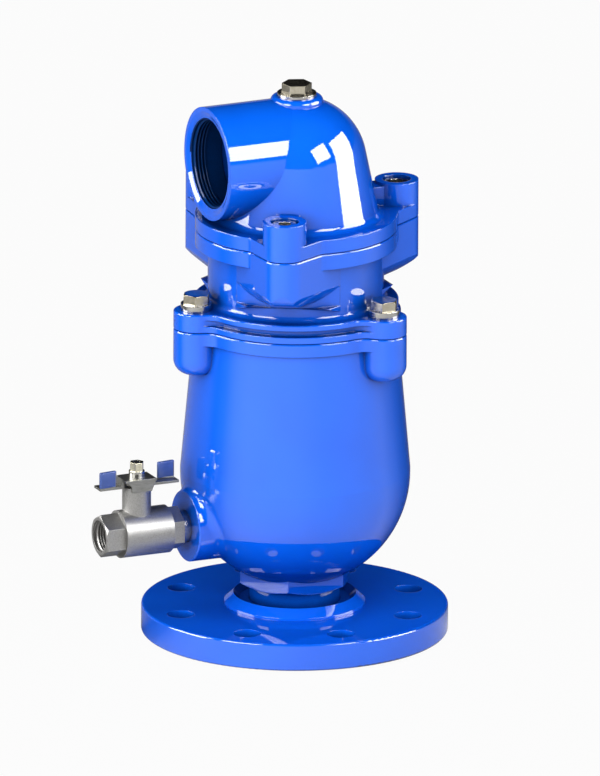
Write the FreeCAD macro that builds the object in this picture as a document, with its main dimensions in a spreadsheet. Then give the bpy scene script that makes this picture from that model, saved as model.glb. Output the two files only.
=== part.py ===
import FreeCAD, Part
import math
import os
from types import SimpleNamespace

import Sketcher

# Combination air release valve on a DN80 flange, with a threaded outlet elbow
# and a small drain ball valve. Millimetres, +Z up. The origin is on the valve
# axis at the sealing face of the inlet flange. The outlet and the drain point to -X.

# Driving sizes in millimetres, angles in degrees
SIZES = {
    # Inlet flange, screwed on the neck of the lower body
    "face_diameter": 138,
    "face_lift": 2,
    "rim_diameter": 200,
    "rim_thickness": 18,
    "rim_round": 1.5,
    "bolt_circle": 160,
    "bolt_hole": 18,
    "bolt_count": 8,
    "rim_clocking": -1.7,
    "hub_diameter": 92,
    "hub_straight": 1.6,
    "hub_height": 7,
    "hub_mouth": 80,
    "hub_recess": 4,
    # Neck of the lower body
    "neck_diameter": 59.6,
    "neck_bore": 50,
    "neck_start": 6,
    "neck_gap": 7,
    "neck_flats": 67.5,
    "neck_hex_height": 12,
    # Lower body casting
    "bowl_radius": 75,
    "bowl_rise": 75,
    "bowl_band": 3,
    "body_wall": 7,
    "wall_height": 93.6,
    "wall_top_radius": 66.6,
    "body_flange_land": 4.5,
    "body_flange_thickness": 9,
    "body_screw_land": 1.9,
    "body_ear_radius": 15,
    "body_ear_height": 31,
    "body_ear_round": 10,
    "body_mouth_radius": 56,
    "body_mouth_height": 7,
    "ear_blend": 12,
    # Drain boss on the side of the bowl
    "drain_level": 80.4,
    "drain_reach": 78.3,
    "drain_boss_radius": 23.5,
    "drain_boss_fillet": 7,
    "drain_socket_depth": 12.3,
    "drain_boss_round": 1,
    # Middle casing
    "casing_height": 60,
    "casing_lower_lip": 4.4,
    "casing_groove": 4,
    "casing_groove_depth": 4.5,
    "casing_upper_lip": 3.8,
    "casing_lip_step": 1.5,
    "casing_neck_radius": 57.4,
    "casing_neck_fillet": 4,
    "casing_wall": 6.4,
    "casing_flange_land": 4.1,
    "casing_flange_thickness": 11,
    "top_screw_land": 4.6,
    "top_ear_radius": 14.3,
    "top_ear_spread": 33.7,
    "top_ear_corner": 6,
    "top_ear_skirt": 23.6,
    "top_ear_tip": 28.4,
    "top_ear_slope": 0.366,
    "top_ear_bevel": 0.633,
    "top_ear_bevel_width": 24,
    "top_ear_bulge": 26,
    "top_ear_nose": 10,
    "ear_root_depth": 14,
    "split_round": 0.8,
    "split_edge_round": 1.5,
    "lip_round": 1,
    "spigot_radius": 59.9,
    "spigot_depth": 4,
    # Outlet cover
    "cover_flange_thickness": 9.5,
    "cover_boss_height": 15,
    "cover_wall": 6,
    "dome_foot_radius": 54,
    "dome_foot_fillet": 5,
    "dome_top_radius": 37.8,
    "dome_rise": 87.3,
    "dome_crown": 2,
    "outlet_radius": 37.5,
    "outlet_rise": 50,
    "outlet_reach": 63.4,
    "outlet_mouth_radius": 34.5,
    "outlet_mouth_depth": 1.5,
    "outlet_thread_radius": 29.8,
    "outlet_thread_length": 22,
    "outlet_core_radius": 31,
    "top_boss_radius": 17.3,
    "top_boss_height": 2.2,
    "top_boss_round": 3.5,
    "cover_web_width": 15,
    "cover_web_drop": 2,
    "plug_hole_radius": 6.6,
    # Vent plug
    "plug_flats": 17,
    "plug_head": 6.3,
    "plug_length": 14,
    "plug_clocking": -20.8,
    "plug_washer_radius": 12.8,
    "plug_washer_thickness": 2,
    # Flange screws
    "screw_diameter": 10,
    "screw_flats": 16,
    "screw_head": 6.4,
    "washer_diameter": 20.6,
    "washer_thickness": 4.4,
    "screw_grip": 15,
    "socket_head_diameter": 16,
    "socket_head": 10,
    "socket_key": 8,
    "socket_depth": 5,
    "counterbore_diameter": 18.6,
    "counterbore_depth": 11.5,
    # Seals between the castings
    "seal_section": 2,
    "seal_groove_width": 2.6,
    "seal_groove_depth": 2.2,
    "seal_land": 1.5,
    # Seat at the top of the casing
    "seat_radius": 57.5,
    "seat_thickness": 8,
    "seat_bore_radius": 33,
    "seat_lip": 2,
    "seat_lip_width": 2.5,
    # Guide spider and bush under the casing
    "spider_thickness": 3,
    "spider_rim": 7,
    "spider_arm_width": 9,
    "spider_window_gap": 2,
    "spider_hub_radius": 10,
    "spider_hub_height": 16,
    "bush_radius": 6.5,
    "bush_flange_radius": 9,
    "bush_flange_thickness": 2,
    "bush_length": 17,
    # Closing disc, its cage on the rod, seal and small nozzle
    "disc_travel": 14,
    "disc_radius": 40,
    "disc_thickness": 5,
    "disc_seal_width": 9,
    "disc_seal_thickness": 3,
    "cage_radius": 10,
    "cage_inner_radius": 7,
    "cage_nut_thickness": 4,
    "cage_nut_flange": 3,
    "nozzle_radius": 4,
    "nozzle_orifice": 1.2,
    "nozzle_head_radius": 6,
    "nozzle_head": 2.5,
    # Float on its rod
    "float_travel": 4,
    "rod_radius": 4,
    "rod_head_radius": 6,
    "rod_head": 4,
    "nozzle_seal_radius": 3,
    "nozzle_seal_thickness": 2,
    "float_radius": 52,
    "float_height": 82,
    "float_shoulder": 22,
    "float_round": 20,
    "float_clear": 8,
    "float_hub_radius": 14,
    "float_nut_flats": 13,
    "float_nut_height": 6.5,
    "rod_end": 3,
    # Drain nipple and ball valve
    "nipple_radius": 10.45,
    "nipple_bore_radius": 7,
    "nipple_show": 5.7,
    "nipple_engagement": 11,
    "valve_flats": 25,
    "end_hex_width": 8,
    "barrel_front": 21,
    "barrel_back": 13,
    "barrel_radius": 15.75,
    "outlet_hex_width": 13.4,
    "drain_thread_radius": 10.45,
    "drain_thread_length": 11.4,
    "port_radius": 7,
    "ball_radius": 12,
    "ball_space": 0.6,
    "ball_seat_gap": 0.15,
    "ball_seat_outer": 11,
    "ball_seat_inner": 7.7,
    "ball_seat_depth": 12,
    "ball_seat_reach": 7,
    "tower_radius": 9.45,
    "tower_rise": 31.6,
    "stem_radius": 4,
    "stem_tang": 4,
    "stem_tang_depth": 2.4,
    "stem_thread_radius": 2.5,
    "packing_radius": 6.5,
    "packing_height": 4,
    "gland_flats": 12,
    "gland_height": 7,
    "gland_depth": 3,
    # Wing handle with its collar and nut
    "sheet": 1.6,
    "handle_gap": 0.3,
    "arm_width": 10,
    "arm_reach": 28,
    "handle_step": 5,
    "hub_left": 12.5,
    "hub_right": 9.3,
    "hub_front": 11.4,
    "hub_back": 5.6,
    "flap_drop": 8.3,
    "flap_left": 8.2,
    "flap_right": 5.9,
    "flap_cut": 4.3,
    "wing_width": 11.2,
    "wing_rise": 11.4,
    "grip_side": 0.6,
    "grip_thickness": 3.8,
    "grip_height": 10.6,
    "grip_lift": 2,
    "collar_radius": 5.2,
    "collar_height": 3.4,
    "handle_nut_flats": 8.3,
    "handle_nut_height": 5.8,
    # Clearances
    "thread_gap": 0.1,
    "running_gap": 0.06,
    "seat_gap": 0.3,
    "fit_gap": 0.05,
}

FLATS_TO_CORNER = 2 / math.sqrt(3)
CHAMFER_SLOPE = math.tan(math.radians(30))
OVERSHOOT = 1
BODY_EAR_DIRECTION = -1
TOP_EAR_DIRECTION = 1
EAR_COUNT = 3
FULL_TURN = 360


class Size:
    """A length with its value and the sheet expression that gives it."""

    def __init__(self, value, text):
        self.value = value
        self.text = text

    def __add__(self, other):
        other = as_size(other)
        return Size(self.value + other.value, f"({self.text} + {other.text})")

    def __sub__(self, other):
        other = as_size(other)
        return Size(self.value - other.value, f"({self.text} - {other.text})")

    def __mul__(self, other):
        other = as_size(other)
        return Size(self.value * other.value, f"({self.text} * {other.text})")

    def __truediv__(self, other):
        other = as_size(other)
        return Size(self.value / other.value, f"({self.text} / {other.text})")

    def __neg__(self):
        return Size(-self.value, f"(0 - {self.text})")

    def __radd__(self, other):
        return as_size(other) + self

    def __rmul__(self, other):
        return as_size(other) * self


def as_size(item):
    if isinstance(item, Size):
        return item
    return Size(float(item), f"({float(item)!r})")


def root(item):
    return Size(math.sqrt(item.value), f"sqrt({item.text})")


def sine(angle):
    return Size(math.sin(math.radians(angle.value)), f"sin({angle.text})")


def cosine(angle):
    return Size(math.cos(math.radians(angle.value)), f"cos({angle.text})")


def leg(hypotenuse, other_leg):
    """The remaining side of a right triangle."""
    return root(hypotenuse * hypotenuse - other_leg * other_leg)


doc = FreeCAD.newDocument("air_release_valve")


def make_sheet():
    """Writes the driving sizes to the sheet and returns them by name."""
    sheet = doc.addObject("Spreadsheet::Sheet", "Sizes")
    names = {}
    for row, (name, value) in enumerate(SIZES.items(), start=1):
        sheet.set(f"A{row}", name)
        sheet.set(f"B{row}", str(value))
        sheet.setAlias(f"B{row}", name)
        names[name] = Size(value, f"Sizes.{name}")
    doc.recompute()
    return SimpleNamespace(**names)


s = make_sheet()

# Radii of the split faces, outward from the seal grooves
body_groove_edge = s.spigot_radius + s.seal_land + s.seal_groove_width
body_flange_radius = body_groove_edge + s.body_flange_land
body_ear_circle = body_groove_edge + s.body_screw_land + s.screw_diameter / 2
casing_lip_radius = body_flange_radius - s.casing_lip_step
casing_groove_radius = body_flange_radius - s.casing_groove_depth
top_groove_edge = s.seat_radius + s.seat_gap + s.seal_land + s.seal_groove_width
casing_flange_radius = top_groove_edge + s.casing_flange_land
top_ear_circle = top_groove_edge + s.top_screw_land + s.screw_diameter / 2
top_ear_edge = top_ear_circle + s.top_ear_radius
top_ear_root = s.casing_neck_radius - s.ear_root_depth
ear_touch_x = top_ear_circle + s.top_ear_radius * sine(s.top_ear_spread)
ear_touch_y = s.top_ear_radius * cosine(s.top_ear_spread)

# Levels along the valve axis
rim_top = s.face_lift + s.rim_thickness
hub_top = rim_top + s.hub_height
hex_bottom = hub_top + s.neck_gap
hex_top = hex_bottom + s.neck_hex_height
bowl_level = hex_bottom + s.bowl_rise
wall_bottom = bowl_level + s.bowl_band
body_flange_bottom = wall_bottom + s.wall_height
split_low = body_flange_bottom + s.body_flange_thickness
split_high = split_low + s.casing_height
seat_bottom = split_high - s.seat_thickness
dome_top = split_high + s.dome_rise
outlet_level = split_high + s.outlet_rise
plug_seat = dome_top + s.top_boss_height
top_ear_low = split_high - s.top_ear_tip

# Levels of the inner parts at rest
spider_top = split_low - s.spigot_depth
spider_bottom = spider_top - s.spider_thickness
bush_seat = spider_top + s.spider_hub_height
bush_top = bush_seat + s.bush_flange_thickness
cage_bottom = bush_top + s.seat_gap
rod_head_bottom = cage_bottom + s.cage_nut_thickness + s.seat_gap
nozzle_seal_top = rod_head_bottom + s.rod_head + s.nozzle_seal_thickness
nozzle_tip = nozzle_seal_top + s.float_travel + s.seat_gap
disc_seal_top = seat_bottom - s.seat_lip - s.disc_travel - s.seat_gap
disc_top = disc_seal_top - s.disc_seal_thickness
disc_bottom = disc_top - s.disc_thickness
float_nut_top = spider_bottom - s.disc_travel - s.float_travel - s.float_clear
float_top = float_nut_top - s.float_nut_height
float_bottom = float_top - s.float_height
rod_bottom = float_bottom - s.float_nut_height - s.rod_end

# Places along the drain
socket_end = s.drain_reach - s.drain_socket_depth
valve_mouth = s.drain_reach + s.nipple_show
stem_x = -(valve_mouth + s.end_hex_width + s.barrel_front)
end_hex_right = s.barrel_front + s.end_hex_width
handle_low = s.tower_rise + s.handle_gap
handle_high = handle_low + s.handle_step
collar_top = handle_high + s.sheet + s.collar_height
nut_top = collar_top + s.handle_nut_height


def value_of(item):
    return as_size(item).value


def bind(item, prop, size):
    item.setExpression(prop, as_size(size).text)


def corner(x, y, rounded=None, bend=None, turn=1):
    """A corner of an outline, its rounding, and the arc that leads on from it."""
    return SimpleNamespace(x=as_size(x), y=as_size(y), rounded=rounded, bend=bend, turn=turn)


def plane_of(body, role):
    for item in body.Origin.OriginFeatures:
        if item.Role == role:
            return item
    raise ValueError(role)


def new_body(label):
    body = doc.addObject("PartDesign::Body", label)
    body.Label = label
    return body


def new_sketch(body, role="XZ_Plane", offset=None):
    sketch = body.newObject("Sketcher::SketchObject", f"{body.Name}_sketch")
    sketch.AttachmentSupport = (plane_of(body, role), [""])
    sketch.MapMode = "FlatFace"
    if offset is not None:
        bind(sketch, "AttachmentOffset.Base.z", offset)
    return sketch


def add_rule(sketch, size, *rule):
    """Adds a dimension to a sketch and ties it to the sheet."""
    index = sketch.addConstraint(Sketcher.Constraint(*rule, value_of(size)))
    bind(sketch, f"Constraints[{index}]", size)


def hold_point(sketch, geometry, end, x, y):
    """Places one end of a curve by its distances from the sketch origin."""
    for size, word, axis in ((x, "DistanceX", -2), (y, "DistanceY", -1)):
        if size.value == 0:
            rule = Sketcher.Constraint("PointOnObject", geometry, end, axis)
            sketch.addConstraint(rule)
        else:
            add_rule(sketch, size, word, -1, 1, geometry, end)


def point(corner_item):
    return FreeCAD.Vector(corner_item.x.value, corner_item.y.value, 0)


def arc_through(first, middle, last):
    """An arc through three points, always stored anticlockwise."""
    if (middle - first).cross(last - middle).z < 0:
        first, last = last, first
    return Part.Arc(first, middle, last)


def bent_arc(start, end, radius, turn):
    """An arc of a known radius between two points; turn picks its centre's side."""
    chord = end - start
    middle = (start + end) / 2
    height = math.sqrt(radius * radius - chord.Length ** 2 / 4)
    side = FreeCAD.Vector(-chord.y, chord.x, 0).normalize() * turn
    bulge = middle + side * (height - radius)
    return arc_through(start, bulge, end)


def rounding(before, at, after, radius):
    """Tangent points of a rounded corner."""
    back = (before - at).normalize()
    ahead = (after - at).normalize()
    half_angle = back.getAngle(ahead) / 2
    reach = radius / math.tan(half_angle)
    middle = (back + ahead).normalize()
    bulge = at + middle * (radius / math.sin(half_angle) - radius)
    return at + back * reach, bulge, at + ahead * reach


def end_of_arc(sketch, index, place):
    """Tells which end of an arc lies at a place: 1 for its start, 2 for its end."""
    start = sketch.Geometry[index].StartPoint
    if (start - place).Length < 1e-4:
        return 1
    return 2


def draw(sketch, corners):
    """Closes an outline of lines, arcs and rounded corners, held by its sizes."""
    count = len(corners)
    starts = []
    ends = []
    arcs = {}
    for index, item in enumerate(corners):
        here = point(item)
        if item.rounded is None:
            ends.append(here)
            starts.append(here)
            continue
        before = point(corners[index - 1])
        after = point(corners[(index + 1) % count])
        first, bulge, last = rounding(before, here, after, value_of(item.rounded))
        ends.append(first)
        starts.append(last)
        arcs[index] = arc_through(first, bulge, last)
    sides = []
    for index, item in enumerate(corners):
        start = starts[index]
        end = ends[(index + 1) % count]
        if item.bend is None:
            sides.append(sketch.addGeometry(Part.LineSegment(start, end), False))
        else:
            curve = bent_arc(start, end, value_of(item.bend), item.turn)
            sides.append(sketch.addGeometry(curve, False))
    for index, item in enumerate(corners):
        side_before = sides[index - 1]
        side_after = sides[index]
        end_before = 2
        if corners[index - 1].bend is not None:
            end_before = end_of_arc(sketch, side_before, ends[index])
        start_after = 1
        if item.bend is not None:
            start_after = end_of_arc(sketch, side_after, starts[index])
        if item.rounded is None:
            meet = Sketcher.Constraint("Coincident", side_before, end_before, side_after, start_after)
            sketch.addConstraint(meet)
            hold_point(sketch, side_after, start_after, item.x, item.y)
            continue
        arc = sketch.addGeometry(arcs[index], False)
        mark = sketch.addGeometry(Part.Point(point(item)), True)
        hold_point(sketch, mark, 1, item.x, item.y)
        sketch.addConstraint(Sketcher.Constraint("PointOnObject", mark, 1, side_before))
        sketch.addConstraint(Sketcher.Constraint("PointOnObject", mark, 1, side_after))
        arc_in = end_of_arc(sketch, arc, ends[index])
        arc_out = 3 - arc_in
        sketch.addConstraint(Sketcher.Constraint("Tangent", side_before, end_before, arc, arc_in))
        sketch.addConstraint(Sketcher.Constraint("Tangent", arc, arc_out, side_after, start_after))
        add_rule(sketch, item.rounded, "Radius", arc)
    for index, item in enumerate(corners):
        if item.bend is not None:
            add_rule(sketch, item.bend, "Radius", sides[index])


def draw_axis(sketch, offset, upright):
    """Draws the line that an off-centre turned feature spins about."""
    length = 10
    place = value_of(offset)
    if upright:
        line = Part.LineSegment(FreeCAD.Vector(place, 0, 0), FreeCAD.Vector(place, length, 0))
    else:
        line = Part.LineSegment(FreeCAD.Vector(0, place, 0), FreeCAD.Vector(length, place, 0))
    index = sketch.addGeometry(line, True)
    for end, along in ((1, 0), (2, length)):
        if upright:
            hold_point(sketch, index, end, as_size(offset), as_size(along))
        else:
            hold_point(sketch, index, end, as_size(along), as_size(offset))


def spin(body, kind, corners, axis="V_Axis", offset=None, upright=True):
    """Turns an outline about an axis, adding or removing material."""
    sketch = new_sketch(body)
    if offset is not None:
        draw_axis(sketch, offset, upright)
        axis = "Axis0"
    draw(sketch, corners)
    feature = body.newObject(f"PartDesign::{kind}", f"{body.Name}_turned")
    feature.Profile = sketch
    feature.ReferenceAxis = (sketch, [axis])
    feature.Angle = FULL_TURN
    return feature


def turn_on(body, corners, **how):
    return spin(body, "Revolution", corners, **how)


def turn_off(body, corners, **how):
    return spin(body, "Groove", corners, **how)


def bar(x_low, x_high, y_low, y_high, rounded=None):
    """A plain rectangular outline."""
    return [
        corner(x_low, y_low),
        corner(x_high, y_low, rounded=rounded),
        corner(x_high, y_high),
        corner(x_low, y_high),
    ]


def pad(body, corners, role, low, high):
    """Extrudes an outline between two distances from an origin plane."""
    sketch = new_sketch(body, role, low)
    draw(sketch, corners)
    feature = body.newObject("PartDesign::Pad", f"{body.Name}_pad")
    feature.Profile = sketch
    bind(feature, "Length", as_size(high) - low)
    return feature


def cut_out(body, corners, low, high, role="XY_Plane"):
    """Cuts an outline out between two distances from an origin plane."""
    sketch = new_sketch(body, role, low)
    draw(sketch, corners)
    feature = body.newObject("PartDesign::Pocket", f"{body.Name}_cut")
    feature.Profile = sketch
    feature.Reversed = True
    bind(feature, "Length", as_size(high) - low)
    return feature


def repeat_round(body, features, count):
    """Repeats features evenly about the vertical axis."""
    pattern = body.newObject("PartDesign::PolarPattern", f"{body.Name}_ring")
    pattern.Originals = features
    pattern.Axis = (plane_of(body, "Z_Axis"), [""])
    pattern.Angle = FULL_TURN
    if isinstance(count, Size):
        bind(pattern, "Occurrences", count)
    else:
        pattern.Occurrences = count
    body.Tip = pattern
    return pattern


def hexagon(flats, point_up=False):
    """Corners of a hexagon about the origin, from its width across flats."""
    radius = flats * (FLATS_TO_CORNER / 2)
    half = radius / 2
    side = flats / 2
    if point_up:
        places = ((0, -radius), (side, -half), (side, half), (0, radius), (-side, half), (-side, -half))
    else:
        places = ((radius, 0), (half, side), (-half, side), (-radius, 0), (-half, -side), (half, -side))
    return [corner(x, y) for x, y in places]


def round_edges(body, feature, radius, wanted):
    """Rounds every edge of the body that a test accepts."""
    doc.recompute()
    edges = enumerate(feature.Shape.Edges, start=1)
    names = [f"Edge{index}" for index, edge in edges if wanted(edge)]
    fillet = body.newObject("PartDesign::Fillet", f"{body.Name}_fillet")
    fillet.Base = (feature, names)
    bind(fillet, "Radius", radius)
    return fillet


def drill(body, radius, low, high, offset, count=EAR_COUNT):
    """Cuts upright round holes on a circle, the first one at the offset."""
    edge = as_size(offset) + radius
    hole = turn_off(body, bar(offset, edge, low, high), offset=offset)
    return repeat_round(body, [hole], count)


def ear_web(body, disc_radius, circle, ear_radius, direction, low, high):
    """A flange lug that runs into the disc through a hollow curve on each side."""
    blend = s.ear_blend.value
    disc = disc_radius.value
    ear = ear_radius.value
    centre = FreeCAD.Vector(direction * circle.value, 0, 0)
    reach = disc + blend
    span = ear + blend
    along = (reach ** 2 + centre.x ** 2 - span ** 2) / (2 * centre.x)
    across = math.sqrt(reach ** 2 - along ** 2)
    sketch = new_sketch(body, "XY_Plane", low)
    rim = sketch.addGeometry(Part.Circle(FreeCAD.Vector(0, 0, 0), FreeCAD.Vector(0, 0, 1), disc), True)
    sketch.addConstraint(Sketcher.Constraint("Coincident", rim, 3, -1, 1))
    add_rule(sketch, disc_radius, "Radius", rim)
    hollows = {}
    for side in (-1, 1):
        middle = FreeCAD.Vector(along, side * across, 0)
        on_disc = middle * (disc / reach)
        on_ear = centre + (middle - centre) * (ear / span)
        inward = ((on_disc + on_ear) / 2 - middle).normalize()
        hollow = sketch.addGeometry(arc_through(on_disc, middle + inward * blend, on_ear), False)
        add_rule(sketch, s.ear_blend, "Radius", hollow)
        hollows[side] = (hollow, on_disc, on_ear)
    tip = centre + FreeCAD.Vector(direction * ear, 0, 0)
    lug = sketch.addGeometry(arc_through(hollows[-1][2], tip, hollows[1][2]), False)
    sketch.addConstraint(Sketcher.Constraint("PointOnObject", lug, 3, -1))
    add_rule(sketch, circle * direction, "DistanceX", -1, 1, lug, 3)
    add_rule(sketch, ear_radius, "Radius", lug)
    chord = sketch.addGeometry(Part.LineSegment(hollows[-1][1], hollows[1][1]), False)
    for side, chord_end in ((-1, 1), (1, 2)):
        hollow, on_disc, on_ear = hollows[side]
        disc_end = end_of_arc(sketch, hollow, on_disc)
        lug_end = end_of_arc(sketch, lug, on_ear)
        sketch.addConstraint(Sketcher.Constraint("Tangent", hollow, 3 - disc_end, lug, lug_end))
        sketch.addConstraint(Sketcher.Constraint("Tangent", hollow, disc_end, rim))
        sketch.addConstraint(Sketcher.Constraint("Coincident", hollow, disc_end, chord, chord_end))
    feature = body.newObject("PartDesign::Pad", f"{body.Name}_lug")
    feature.Profile = sketch
    bind(feature, "Length", as_size(high) - low)
    return repeat_round(body, [feature], EAR_COUNT)


def ear_column(body, circle, radius, direction, low, high, rounded=None):
    """Upright round bosses on the bolt circle, rounded at their feet if asked."""
    place = circle * direction
    edge = place + radius * direction
    outline = [
        corner(place, low),
        corner(edge, low, rounded=rounded),
        corner(edge, high),
        corner(place, high),
    ]
    return repeat_round(body, [turn_on(body, outline, offset=place)], EAR_COUNT)


def top_ear_plan():
    """A top lug from above, with straight flared sides and a round nose."""
    half = ear_half_width(top_ear_root)
    return [
        corner(top_ear_root, -half),
        corner(ear_touch_x, -ear_touch_y, bend=s.top_ear_radius),
        corner(ear_touch_x, ear_touch_y),
        corner(top_ear_root, half),
    ]


def seal_groove(body, inner_radius, level):
    """A face groove for a sealing ring, a land away from a recess."""
    low_edge = inner_radius + s.seal_land
    high_edge = low_edge + s.seal_groove_width
    turn_off(body, bar(low_edge, high_edge, level - s.seal_groove_depth, level + OVERSHOOT))


def trim_hexagon(body, flats, level, direction, axis="V_Axis"):
    """Turns the corners of a hexagon down at one end, at thirty degrees."""
    inner = flats / 2
    outer = flats * (FLATS_TO_CORNER / 2) + OVERSHOOT
    rise = (outer - inner) * CHAMFER_SLOPE * direction
    places = ((inner, level), (outer, level), (outer, level + rise))
    if axis == "H_Axis":
        places = tuple((y, x) for x, y in places)
    turn_off(body, [corner(x, y) for x, y in places], axis=axis)


def make_inlet_flange():
    body = new_body("inlet_flange")
    bore = s.neck_diameter / 2 + s.thread_gap
    rim = s.rim_diameter / 2
    hub = s.hub_diameter / 2
    turn_on(body, [
        corner(bore, 0),
        corner(s.face_diameter / 2, 0),
        corner(s.face_diameter / 2, s.face_lift),
        corner(rim, s.face_lift, rounded=s.rim_round),
        corner(rim, rim_top, rounded=s.rim_round),
        corner(hub, rim_top),
        corner(hub, rim_top + s.hub_straight),
        corner(s.hub_mouth / 2, hub_top),
        corner(s.hub_mouth / 2 - s.hub_recess, hub_top - s.hub_recess),
        corner(bore, hub_top - s.hub_recess),
    ])
    drill(body, s.bolt_hole / 2, -OVERSHOOT, rim_top + OVERSHOOT, s.bolt_circle / 2, s.bolt_count)
    bind(body, "Placement.Rotation.Angle", s.rim_clocking)
    return body


def make_lower_body():
    body = new_body("lower_body")
    neck = s.neck_diameter / 2
    bore = s.neck_bore / 2
    bowl = s.bowl_radius
    hollow = bowl - s.body_wall
    turn_on(body, [
        corner(0, s.neck_start),
        corner(neck, s.neck_start),
        corner(neck, bowl_level - leg(bowl, neck), bend=bowl),
        corner(bowl, bowl_level),
        corner(bowl, wall_bottom),
        corner(s.wall_top_radius, body_flange_bottom),
        corner(body_flange_radius, body_flange_bottom),
        corner(body_flange_radius, split_low),
        corner(0, split_low),
    ])
    pad(body, hexagon(s.neck_flats), "XY_Plane", hex_bottom, hex_top)
    trim_hexagon(body, s.neck_flats, hex_bottom, 1)
    boss_top = s.drain_level + s.drain_boss_radius
    boss_root = hollow - s.drain_boss_radius
    boss = turn_on(body, [
        corner(-s.drain_reach, s.drain_level),
        corner(-boss_root, s.drain_level),
        corner(-boss_root, boss_top),
        corner(-s.drain_reach, boss_top, rounded=s.drain_boss_round),
    ], offset=s.drain_level, upright=False)
    round_edges(body, boss, s.drain_boss_fillet, on_drain_boss)
    ear_low = split_low - s.body_ear_height
    ear_column(body, body_ear_circle, s.body_ear_radius, BODY_EAR_DIRECTION, ear_low, split_low,
               s.body_ear_round)
    lugs = ear_web(body, body_flange_radius, body_ear_circle, s.body_ear_radius, BODY_EAR_DIRECTION,
                   body_flange_bottom, split_low)
    round_edges(body, lugs, s.split_edge_round, on_contour(split_low, s.spigot_radius + OVERSHOOT))
    lip_low = spider_bottom - s.body_mouth_height
    turn_off(body, [
        corner(0, s.neck_start - OVERSHOOT),
        corner(bore, s.neck_start - OVERSHOOT),
        corner(bore, bowl_level - leg(hollow, bore), bend=hollow),
        corner(hollow, bowl_level),
        corner(hollow, wall_bottom),
        corner(s.wall_top_radius - s.body_wall, lip_low - s.body_mouth_height),
        corner(s.body_mouth_radius, lip_low),
        corner(s.body_mouth_radius, spider_bottom),
        corner(s.spigot_radius + s.thread_gap, spider_bottom),
        corner(s.spigot_radius + s.thread_gap, split_low + OVERSHOOT),
        corner(0, split_low + OVERSHOOT),
    ])
    seal_groove(body, s.spigot_radius, split_low)
    drill(body, s.screw_diameter / 2 + s.thread_gap, split_low - s.screw_grip - OVERSHOOT,
          split_low + OVERSHOOT, -body_ear_circle)
    socket = s.drain_level + s.nipple_radius + s.thread_gap
    port = s.drain_level + s.nipple_bore_radius
    turn_off(body, [
        corner(-s.drain_reach - OVERSHOOT, s.drain_level),
        corner(-boss_root, s.drain_level),
        corner(-boss_root, port),
        corner(-socket_end, port),
        corner(-socket_end, socket),
        corner(-s.drain_reach - OVERSHOOT, socket),
    ], offset=s.drain_level, upright=False)
    return body


def on_drain_boss(edge):
    """Accepts the curve where the drain boss meets the bowl."""
    for place in edge.discretize(5):
        out = math.hypot(place.y, place.z - s.drain_level.value)
        if abs(out - s.drain_boss_radius.value) > 0.01 or place.x < -s.drain_reach.value + 2:
            return False
        if math.hypot(place.x, place.y, place.z - bowl_level.value) < s.bowl_radius.value - 0.01:
            return False
    return True


def make_casing():
    body = new_body("casing")
    groove_low = split_low + s.casing_lower_lip
    groove_high = groove_low + s.casing_groove
    lip_top = groove_high + s.casing_upper_lip
    flange_low = split_high - s.casing_flange_thickness
    inside = s.casing_neck_radius - s.casing_wall
    turn_on(body, bar(0, casing_flange_radius, flange_low, split_high))
    make_top_ears(body)
    body_with_neck = turn_on(body, [
        corner(0, spider_top),
        corner(s.spigot_radius, spider_top),
        corner(s.spigot_radius, split_low),
        corner(body_flange_radius, split_low),
        corner(body_flange_radius, groove_low),
        corner(casing_groove_radius, groove_low),
        corner(casing_groove_radius, groove_high),
        corner(casing_lip_radius, groove_high),
        corner(casing_lip_radius, lip_top),
        corner(s.casing_neck_radius, lip_top, rounded=s.casing_neck_fillet),
        corner(s.casing_neck_radius, flange_low, rounded=s.casing_neck_fillet),
        corner(casing_flange_radius, flange_low),
        corner(casing_flange_radius, split_high),
        corner(0, split_high),
    ])
    corners = round_edges(body, body_with_neck, s.top_ear_corner, on_ear_corner)
    round_edges(body, corners, s.split_edge_round, on_contour(split_high, s.seat_radius))
    make_casing_lug(body, casing_groove_radius, groove_low, groove_high)
    make_casing_lug(body, body_flange_radius, split_low, groove_low)
    lugs = make_casing_lug(body, casing_lip_radius, groove_high, lip_top)
    rim = round_edges(body, lugs, s.split_round, on_contour(split_low, s.spigot_radius + OVERSHOOT))
    lip_inside = s.casing_neck_radius + s.casing_neck_fillet + OVERSHOOT
    round_edges(body, rim, s.lip_round, on_contour(lip_top, lip_inside))
    turn_off(body, [
        corner(0, spider_top - OVERSHOOT),
        corner(inside, spider_top - OVERSHOOT),
        corner(inside, seat_bottom),
        corner(s.seat_radius + s.seat_gap, seat_bottom),
        corner(s.seat_radius + s.seat_gap, split_high + OVERSHOOT),
        corner(0, split_high + OVERSHOOT),
    ])
    seal_groove(body, s.seat_radius + s.seat_gap, split_high)
    drill(body, s.screw_diameter / 2 + s.seat_gap, split_low - OVERSHOOT, lip_top + OVERSHOOT,
          -body_ear_circle)
    drill(body, s.screw_diameter / 2 + s.thread_gap, split_high - s.screw_grip - OVERSHOOT,
          split_high + OVERSHOOT, top_ear_circle)
    return body


def make_casing_lug(body, disc_radius, low, high):
    """One layer of the casing's lower lugs, run into a disc of its own radius."""
    return ear_web(body, disc_radius, body_ear_circle, s.body_ear_radius, BODY_EAR_DIRECTION, low, high)


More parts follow.
